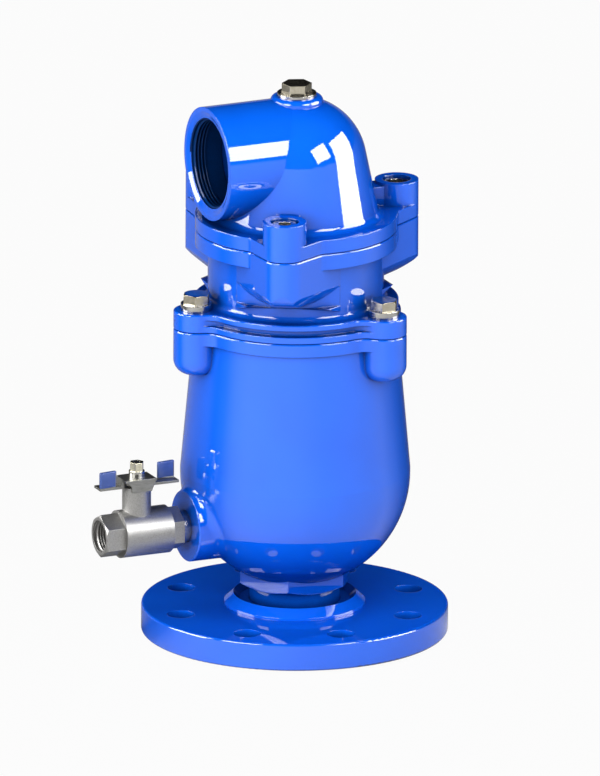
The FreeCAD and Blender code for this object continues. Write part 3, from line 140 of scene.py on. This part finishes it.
# Noise stays mostly between these values
NOISE_LOW = 0.3
NOISE_HIGH = 0.7
NOISE_ROUGHNESS = 0.55

# Rays per spot that look for edges, and for what covers a surface to set its painted shade
EDGE_SAMPLES = 6
COVER_SAMPLES = 6


def new_material(name):
    """A material with a bare principled shader."""
    material = bpy.data.materials.new(name)
    material.use_nodes = True
    tree = material.node_tree
    tree.nodes.clear()
    output = tree.nodes.new("ShaderNodeOutputMaterial")
    shader = tree.nodes.new("ShaderNodeBsdfPrincipled")
    tree.links.new(shader.outputs["BSDF"], output.inputs["Surface"])
    return material, tree, shader


def noise(tree, scale, detail=3, stretch=(1, 1, 1)):
    """Noise over the object's own space, stretched along the axes if asked."""
    place = tree.nodes.new("ShaderNodeTexCoord")
    mapping = tree.nodes.new("ShaderNodeMapping")
    mapping.inputs["Scale"].default_value = stretch
    texture = tree.nodes.new("ShaderNodeTexNoise")
    texture.inputs["Scale"].default_value = scale
    texture.inputs["Detail"].default_value = detail
    texture.inputs["Roughness"].default_value = NOISE_ROUGHNESS
    tree.links.new(place.outputs["Object"], mapping.inputs["Vector"])
    tree.links.new(mapping.outputs["Vector"], texture.inputs["Vector"])
    return texture.outputs["Fac"]


def spread(tree, source, low, high, start=NOISE_LOW, end=NOISE_HIGH):
    """Maps a value that runs from start to end on to the range from low to high."""
    node = tree.nodes.new("ShaderNodeMapRange")
    node.inputs["From Min"].default_value = start
    node.inputs["From Max"].default_value = end
    node.inputs["To Min"].default_value = low
    node.inputs["To Max"].default_value = high
    tree.links.new(source, node.inputs["Value"])
    return node.outputs["Result"]


def blend_colours(tree, source, first, second):
    """Runs from one colour to another with a noise value."""
    node = tree.nodes.new("ShaderNodeValToRGB")
    stops = zip(node.color_ramp.elements, (NOISE_LOW, NOISE_HIGH), (first, second))
    for element, position, colour in stops:
        element.position = position
        element.color = (*colour, 1)
    tree.links.new(source, node.inputs["Fac"])
    return node.outputs["Color"]


def calculate(tree, operation, first, second):
    """The result of a sum on two values, each an output or a number."""
    node = tree.nodes.new("ShaderNodeMath")
    node.operation = operation
    for socket, value in zip(node.inputs, (first, second)):
        if isinstance(value, (int, float)):
            socket.default_value = value
        else:
            tree.links.new(value, socket)
    return node.outputs["Value"]


def relief(tree, shader, source, strength, distance_mm, edge_mm):
    """Bump from a noise value, over edges that catch the light as if rounded."""
    bevel = tree.nodes.new("ShaderNodeBevel")
    bevel.samples = EDGE_SAMPLES
    bevel.inputs["Radius"].default_value = edge_mm * MM
    bump = tree.nodes.new("ShaderNodeBump")
    bump.inputs["Strength"].default_value = strength
    bump.inputs["Distance"].default_value = distance_mm * MM
    tree.links.new(source, bump.inputs["Height"])
    tree.links.new(bevel.outputs["Normal"], bump.inputs["Normal"])
    tree.links.new(bevel.outputs["Normal"], shader.inputs["Coat Normal"])
    tree.links.new(bump.outputs["Normal"], shader.inputs["Normal"])


def openness(tree, distance_mm, darkest, closed, clear):
    """How freely light reaches a spot, as a painted shade factor: from the darkest value in gaps and
    bores to one in the open.
    """
    shade = tree.nodes.new("ShaderNodeAmbientOcclusion")
    shade.samples = COVER_SAMPLES
    shade.inputs["Distance"].default_value = distance_mm * MM
    return spread(tree, shade.outputs["AO"], darkest, 1, closed, clear)


def scale_colour(tree, colour, factor):
    """A colour times a value."""
    scaled = tree.nodes.new("ShaderNodeVectorMath")
    scaled.operation = "SCALE"
    tree.links.new(colour, scaled.inputs[0])
    tree.links.new(factor, scaled.inputs["Scale"])
    return scaled.outputs["Vector"]


def enamel(name, first, second, coat=1.0, edge_mm=1.1, painted_shade_range=(0.32, 0.96)):
    """Thick glossy enamel over a casting, with painted shade: darker and duller in gaps and under other
    pieces.

    The broad painted shade under other pieces runs between the two openness values of its last
    argument.
    """
    material, tree, shader = new_material(name)
    # Painted shade: ambient occlusion darkens the colour in gaps and under other pieces, and thins the
    # coat there
    gap_painted_shade = openness(tree, distance_mm=2.5, darkest=0.12, closed=0.25, clear=0.6)
    broad = openness(tree, distance_mm=70, darkest=0.2, closed=painted_shade_range[0], clear=painted_shade_range[1])
    shade = calculate(tree, "MULTIPLY", gap_painted_shade, broad)
    painted_shade_on_coat = calculate(tree, "MULTIPLY", gap_painted_shade, calculate(tree, "POWER", broad, 0.6))
    colour = blend_colours(tree, noise(tree, scale=18, detail=2), first, second)
    rough = spread(tree, noise(tree, scale=260), low=0.36, high=0.48)
    tree.links.new(scale_colour(tree, colour, shade), shader.inputs["Base Color"])
    tree.links.new(rough, shader.inputs["Roughness"])
    tree.links.new(calculate(tree, "MULTIPLY", painted_shade_on_coat, coat), shader.inputs["Coat Weight"])
    shader.inputs["Specular IOR Level"].default_value = 0
    shader.inputs["Coat Roughness"].default_value = 0.015
    shader.inputs["Coat IOR"].default_value = 1.8
    ripple = noise(tree, scale=420, detail=2)
    relief(tree, shader, ripple, strength=0.06, distance_mm=0.15, edge_mm=edge_mm)
    return material


def metal(name, dark, light, rough, grain=900, stretch=(1, 1, 1), strength=0.12):
    """Bare metal with a fine grain, drawn out along an axis where it is turned."""
    material, tree, shader = new_material(name)
    marks = noise(tree, scale=grain, detail=4, stretch=stretch)
    tree.links.new(blend_colours(tree, marks, dark, light), shader.inputs["Base Color"])
    tree.links.new(spread(tree, marks, *rough), shader.inputs["Roughness"])
    shader.inputs["Metallic"].default_value = 1
    relief(tree, shader, marks, strength=strength, distance_mm=0.05, edge_mm=0.35)
    return material


def plastic(name, first, second, rough, grain=1200, coat=0.0):
    """Moulded plastic or rubber with a fine skin."""
    material, tree, shader = new_material(name)
    marks = noise(tree, scale=grain)
    colour = blend_colours(tree, noise(tree, scale=90), first, second)
    tree.links.new(colour, shader.inputs["Base Color"])
    tree.links.new(spread(tree, marks, *rough), shader.inputs["Roughness"])
    shader.inputs["Coat Weight"].default_value = coat
    shader.inputs["Coat Roughness"].default_value = 0.08
    relief(tree, shader, marks, strength=0.1, distance_mm=0.04, edge_mm=0.3)
    return material


def make_materials():
    """The finishes, by the names that the nodes and pieces below use."""
    enamel_blues = ((0.002, 0.128, 0.9), (0.003, 0.145, 0.96))
    return {
        "enamel": enamel("blue_enamel", *enamel_blues),
        # The flange's copy of the enamel takes its painted shade only where it is more closely covered,
        # so its rim by the floor stays bright
        "flange_enamel": enamel("flange_enamel", *enamel_blues, edge_mm=0.4, painted_shade_range=(0.1, 0.5)),
        # Painted shade for the outlet's bore and thread: a dark, duller copy of the enamel
        "bore": enamel("bore_painted_shade_enamel", (0.002, 0.035, 0.17), (0.002, 0.045, 0.21), coat=0.25),
        "cast_steel": metal("cast_stainless", (0.29, 0.285, 0.275), (0.41, 0.405, 0.395),
                            rough=(0.38, 0.5), grain=1500, strength=0.2),
        "turned_steel": metal("turned_stainless", (0.4, 0.39, 0.37), (0.56, 0.55, 0.52),
                              rough=(0.16, 0.26), grain=700, stretch=(0.3, 0.3, 4)),
        "sheet_steel": metal("rolled_sheet", (0.24, 0.24, 0.23), (0.34, 0.34, 0.32),
                             rough=(0.3, 0.44), grain=600, stretch=(0.4, 3, 3)),
        "zinc": metal("zinc_plate", (0.5, 0.46, 0.36), (0.62, 0.57, 0.46),
                      rough=(0.14, 0.24), grain=500),
        "bright_nut": metal("pale_zinc", (0.72, 0.68, 0.52), (0.86, 0.82, 0.66),
                            rough=(0.14, 0.22), grain=500),
        "bronze": metal("bronze", (0.5, 0.32, 0.13), (0.66, 0.45, 0.2), rough=(0.2, 0.32)),
        "rubber": plastic("black_rubber", (0.012, 0.012, 0.013), (0.022, 0.022, 0.023),
                          rough=(0.55, 0.75)),
        "white_plastic": plastic("white_plastic", (0.76, 0.76, 0.72), (0.84, 0.84, 0.8),
                                 rough=(0.35, 0.5)),
        "float_shell": plastic("float_shell", (0.72, 0.74, 0.72), (0.8, 0.82, 0.8),
                               rough=(0.25, 0.38), grain=300),
        "sleeve": plastic("blue_sleeve", (0.04, 0.085, 0.3), (0.05, 0.1, 0.35),
                          rough=(0.3, 0.42), grain=800, coat=0.3),
    }


FINISHES = {
    "enamel": ("lower_body", "casing", "outlet_cover"),
    "flange_enamel": ("inlet_flange",),
    "cast_steel": ("ball_valve_body", "ball_valve_end"),
    "turned_steel": (
        "body_washers", "cover_screws", "drain_nipple", "ball", "valve_stem", "gland_nut",
        "handle_collar", "plug_washer", "guide_spider", "closing_disc", "cage_nut", "nozzle",
        "float_rod", "float_nuts",
    ),
    "sheet_steel": ("handle",),
    "zinc": ("body_bolts", "vent_plug"),
    "bright_nut": ("handle_nut",),
    "bronze": ("guide_bush", "seat_ring"),
    "rubber": ("body_seal", "cover_seal", "disc_seal", "nozzle_seal"),
    "white_plastic": ("ball_seats", "stem_packing"),
    "float_shell": ("float",),
    "sleeve": ("handle_grips",),
}


def dress_nodes(materials):
    """Gives every node of the model its finish."""
    for finish, nodes in FINISHES.items():
        for node in nodes:
            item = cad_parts[node]
            item.data.materials.clear()
            item.data.materials.append(materials[finish])


def paint_bore_shade(materials):
    """Paints shade on the walls of the outlet's bore with a dark, duller copy of the enamel."""
    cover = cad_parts["outlet_cover"]
    bore_shade_slot = len(cover.data.materials)
    cover.data.materials.append(materials["bore"])
    for face in cover.data.polygons:
        place = cover.matrix_world @ face.center
        radius_mm = math.hypot(place.y, place.z - OUTLET_LEVEL_MM * MM) / MM
        along_bore = abs(face.normal.x) < 0.5
        if place.x < BORE_END_MM * MM and radius_mm < BORE_RADIUS_MM and along_bore:
            face.material_index = bore_shade_slot


def mesh_object(name, mesh, material, smooth=True):
    """Turns a bmesh into a piece with one material."""
    bmesh.ops.recalc_face_normals(mesh, faces=mesh.faces)
    data = bpy.data.meshes.new(name)
    mesh.to_mesh(data)
    mesh.free()
    item = bpy.data.objects.new(name, data)
    bpy.context.scene.collection.objects.link(item)
    data.materials.append(material)
    data.polygons.foreach_set("use_smooth", [smooth] * len(data.polygons))
    return item


def join_rings(mesh, rings):
    """Walls between rings of corners that follow each other, with a face over each end."""
    for lower, upper in zip(rings, rings[1:]):
        for index in range(len(lower)):
            after = (index + 1) % len(lower)
            mesh.faces.new((lower[index], lower[after], upper[after], upper[index]))
    mesh.faces.new(rings[0])
    mesh.faces.new(rings[-1])


def ridge_profile(pipe, fade):
    """Places along X in pitches and radii of a ridge, faded from none to its full height."""
    sunk_mm = pipe.root_mm + RIDGE_SUNK_MM
    top_mm = pipe.root_mm + (pipe.crest_mm - pipe.root_mm) * fade
    return (
        (-RIDGE_ROOT_HALF, sunk_mm), (-RIDGE_CREST_HALF, top_mm),
        (RIDGE_CREST_HALF, top_mm), (RIDGE_ROOT_HALF, sunk_mm),
    )


def thread(name, material, pipe):
    """A helical ridge along X that fades into the bore over its first and last half turn."""
    turns = (pipe.end_mm - pipe.start_mm) / pipe.pitch_mm - 1
    count = int(turns * STEPS_PER_TURN)
    half_turn = STEPS_PER_TURN / 2
    mesh = bmesh.new()
    rings = []
    for index in range(count + 1):
        angle = 2 * math.pi * index / STEPS_PER_TURN
        middle_mm = pipe.start_mm + pipe.pitch_mm * (index / STEPS_PER_TURN + 0.5)
        fade = min(1, index / half_turn, (count - index) / half_turn)
        ring = []
        for offset, radius_mm in ridge_profile(pipe, fade):
            place_mm = Vector((
                middle_mm + offset * pipe.pitch_mm,
                radius_mm * math.cos(angle),
                pipe.level_mm + radius_mm * math.sin(angle),
            ))
            ring.append(mesh.verts.new(place_mm * MM))
        rings.append(ring)
    join_rings(mesh, rings)
    item = mesh_object(name, mesh, material, smooth=False)
    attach(item, "valve_body")
    return item


def make_threads(materials):
    """Pipe threads of the outlet and of the drain valve's mouth."""
    # The outlet's thread takes the bore's painted shade
    outlet_thread = thread("outlet_thread", materials["bore"], OUTLET_THREAD)
    mouth_thread = thread("drain_thread", materials["cast_steel"], DRAIN_THREAD)


def sleeve_outline(inset_mm):
    """The plan of a handle sleeve round its middle: a flat bar with round ends and a gentle S."""
    half = SLEEVE_THICK_MM / 2 - inset_mm
    reach = SLEEVE_WIDTH_MM / 2 - SLEEVE_THICK_MM / 2
    places_along = [reach * (2 * index / SLEEVE_STEPS - 1) for index in range(SLEEVE_STEPS + 1)]
    middle = [(x, SLEEVE_WAVE_MM * math.sin(x / reach * math.pi / 2)) for x in places_along]
    outline = [(x, y - half) for x, y in middle]
    for index in range(1, SLEEVE_STEPS):
        angle = math.pi * (index / SLEEVE_STEPS - 0.5)
        outline.append((reach + half * math.cos(angle), SLEEVE_WAVE_MM + half * math.sin(angle)))
    outline += [(x, y + half) for x, y in reversed(middle)]
    for index in range(1, SLEEVE_STEPS):
        angle = math.pi * (index / SLEEVE_STEPS + 0.5)
        outline.append((-reach + half * math.cos(angle), -SLEEVE_WAVE_MM + half * math.sin(angle)))
    return outline


def make_sleeves(materials):
    """Moulded sleeves on the two wings, in place of the plain ones of the model."""
    low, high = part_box("handle_grips")
    levels = [(SLEEVE_FOOT_INSET_MM, low[2])]
    levels += [(inset_mm, high[2] - depth_mm * MM) for inset_mm, depth_mm in SLEEVE_OUTLINES_MM]
    mesh = bmesh.new()
    for side in (-1, 1):
        centre_x = STEM_X_MM + side * SLEEVE_PLACE_MM[0]
        centre_y = side * SLEEVE_PLACE_MM[1]
        rings = []
        for inset_mm, level in levels:
            ring = []
            for x, y in sleeve_outline(inset_mm):
                ring.append(mesh.verts.new(((centre_x + x) * MM, (centre_y + y) * MM, level)))
            rings.append(ring)
        join_rings(mesh, rings)
    sleeves = mesh_object("sleeves", mesh, materials["sleeve"])
    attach(sleeves, "handle_set")
    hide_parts("handle_grips")


def direction(azimuth, elevation):
    """The way to a place round the valve, from angles in radians."""
    return Vector((
        math.sin(azimuth) * math.cos(elevation),
        -math.cos(azimuth) * math.cos(elevation),
        math.sin(elevation),
    ))


def facing(back, spin):
    """The turn of a camera or lamp that looks against a direction, spun round it in radians."""
    return back.to_track_quat("Z", "Y").to_matrix() @ Matrix.Rotation(spin, 3, "Z")


def make_camera():
    """A camera without perspective, turned and placed as the photograph's."""
    back = direction(AZIMUTH, ELEVATION)
    turned = facing(back, ROLL)
    right = turned @ Vector((1, 0, 0))
    up = turned @ Vector((0, 1, 0))
    aim = (right * AIM_RIGHT_MM + up * AIM_UP_MM) * MM
    data = bpy.data.cameras.new("photo_camera")
    data.type = "ORTHO"
    data.ortho_scale = IMAGE_HEIGHT / PIXELS_PER_MM * MM
    data.clip_end = CAMERA_REACH
    camera = bpy.data.objects.new("photo_camera", data)
    camera.matrix_world = Matrix.Translation(aim + back * CAMERA_DISTANCE) @ turned.to_4x4()
    bpy.context.scene.collection.objects.link(camera)
    bpy.context.scene.camera = camera


def floor_tone(tree, place):
    """How pale the floor is: white in front, grey at the back left, dark at the back right."""
    axes = tree.nodes.new("ShaderNodeSeparateXYZ")
    tree.links.new(place, axes.inputs["Vector"])
    sine = math.sin(AZIMUTH)
    cosine = math.cos(AZIMUTH)
    right = calculate(tree, "ADD", calculate(tree, "MULTIPLY", axes.outputs["X"], cosine),
                      calculate(tree, "MULTIPLY", axes.outputs["Y"], sine))
    front = calculate(tree, "SUBTRACT", calculate(tree, "MULTIPLY", axes.outputs["X"], sine),
                      calculate(tree, "MULTIPLY", axes.outputs["Y"], cosine))
    angle = calculate(tree, "ARCTAN2", right, front)
    turn = calculate(tree, "ADD", calculate(tree, "DIVIDE", angle, 2 * math.pi), 0.5)
    ramp = tree.nodes.new("ShaderNodeValToRGB")
    while len(ramp.color_ramp.elements) < len(FLOOR_TONES):
        ramp.color_ramp.elements.new(0.5)
    for element, (degrees, tone) in zip(ramp.color_ramp.elements, FLOOR_TONES):
        element.position = degrees / 360 + 0.5
        element.color = (tone, tone, tone, 1)
    tree.links.new(turn, ramp.inputs["Fac"])
    return ramp.outputs["Color"]


def seen_as_backdrop(tree, tone):
    """The backdrop's share and paleness: white to the camera, the floor's tone where it is mirrored."""
    rays = tree.nodes.new("ShaderNodeLightPath")
    seen = rays.outputs["Is Camera Ray"]
    mirrored = calculate(tree, "MAXIMUM", rays.outputs["Is Glossy Ray"],
                         rays.outputs["Is Transmission Ray"])
    share = calculate(tree, "MAXIMUM", calculate(tree, "MULTIPLY", seen, BACKDROP_SHARE), mirrored)
    paleness = calculate(tree, "MAXIMUM", seen, calculate(tree, "MULTIPLY", mirrored, tone))
    return share, paleness


def floor_material():
    """A matt grey mixed with the backdrop's own light."""
    material = bpy.data.materials.new("floor")
    material.use_nodes = True
    tree = material.node_tree
    tree.nodes.clear()
    output = tree.nodes.new("ShaderNodeOutputMaterial")
    matte = tree.nodes.new("ShaderNodeBsdfDiffuse")
    matte.inputs["Color"].default_value = FLOOR_GREY
    white = tree.nodes.new("ShaderNodeEmission")
    white.inputs["Color"].default_value = WHITE
    mix = tree.nodes.new("ShaderNodeMixShader")
    place = tree.nodes.new("ShaderNodeNewGeometry")
    share, paleness = seen_as_backdrop(tree, floor_tone(tree, place.outputs["Position"]))
    tree.links.new(paleness, white.inputs["Strength"])
    tree.links.new(share, mix.inputs["Fac"])
    tree.links.new(matte.outputs["BSDF"], mix.inputs[1])
    tree.links.new(white.outputs["Emission"], mix.inputs[2])
    tree.links.new(mix.outputs["Shader"], output.inputs["Surface"])
    return material


def make_floor():
    """A pale floor that reads as a white backdrop and still takes a soft shadow."""
    mesh = bmesh.new()
    bmesh.ops.create_grid(mesh, x_segments=1, y_segments=1, size=FLOOR_HALF_SIZE)
    floor = mesh_object("floor", mesh, floor_material(), smooth=False)
    floor.location.z = -FLOOR_DROP


def make_world():
    """A pale band round the horizon under a dim ceiling."""
    world = bpy.data.worlds.new("studio")
    bpy.context.scene.world = world
    world.use_nodes = True
    tree = world.node_tree
    tree.nodes.clear()
    output = tree.nodes.new("ShaderNodeOutputWorld")
    background = tree.nodes.new("ShaderNodeBackground")
    place = tree.nodes.new("ShaderNodeTexCoord")
    axes = tree.nodes.new("ShaderNodeSeparateXYZ")
    ramp = tree.nodes.new("ShaderNodeValToRGB")
    positions = (HORIZON_WHITE_TO, HORIZON_DARK_FROM)
    stops = zip(ramp.color_ramp.elements, positions, (WHITE, CEILING_GREY))
    for element, position, colour in stops:
        element.position = position
        element.color = colour
    tree.links.new(place.outputs["Generated"], axes.inputs["Vector"])
    tree.links.new(axes.outputs["Z"], ramp.inputs["Fac"])
    tree.links.new(ramp.outputs["Color"], background.inputs["Color"])
    tree.links.new(floor_tone(tree, place.outputs["Generated"]), background.inputs["Strength"])
    tree.links.new(background.outputs["Background"], output.inputs["Surface"])


def make_lamp(name, lamp):
    """A rectangular lamp that faces the valve, as bright to look at whatever its size."""
    back = direction(math.radians(lamp.azimuth), math.radians(lamp.elevation))
    turned = facing(back, math.radians(lamp.spin))
    width, height = lamp.size
    data = bpy.data.lights.new(name, "AREA")
    data.shape = "RECTANGLE"
    data.size = width
    data.size_y = height
    data.energy = lamp.brightness * math.pi * width * height
    item = bpy.data.objects.new(name, data)
    item.matrix_world = Matrix.Translation(LAMP_AIM + back * lamp.distance) @ turned.to_4x4()
    bpy.context.scene.collection.objects.link(item)
    return item


def make_lamps():
    """Soft boxes that show in the enamel, and broad fills from above and all round."""
    for name, lamp in SOFT_BOXES.items():
        make_lamp(name, lamp).visible_diffuse = False
    for name, lamp in FILLS.items():
        make_lamp(name, lamp).visible_glossy = False


materials = make_materials()
dress_nodes(materials)
paint_bore_shade(materials)
make_threads(materials)
make_sleeves(materials)
make_camera()
make_floor()
make_world()
make_lamps()

bpy.context.scene.view_settings.view_transform = "Standard"
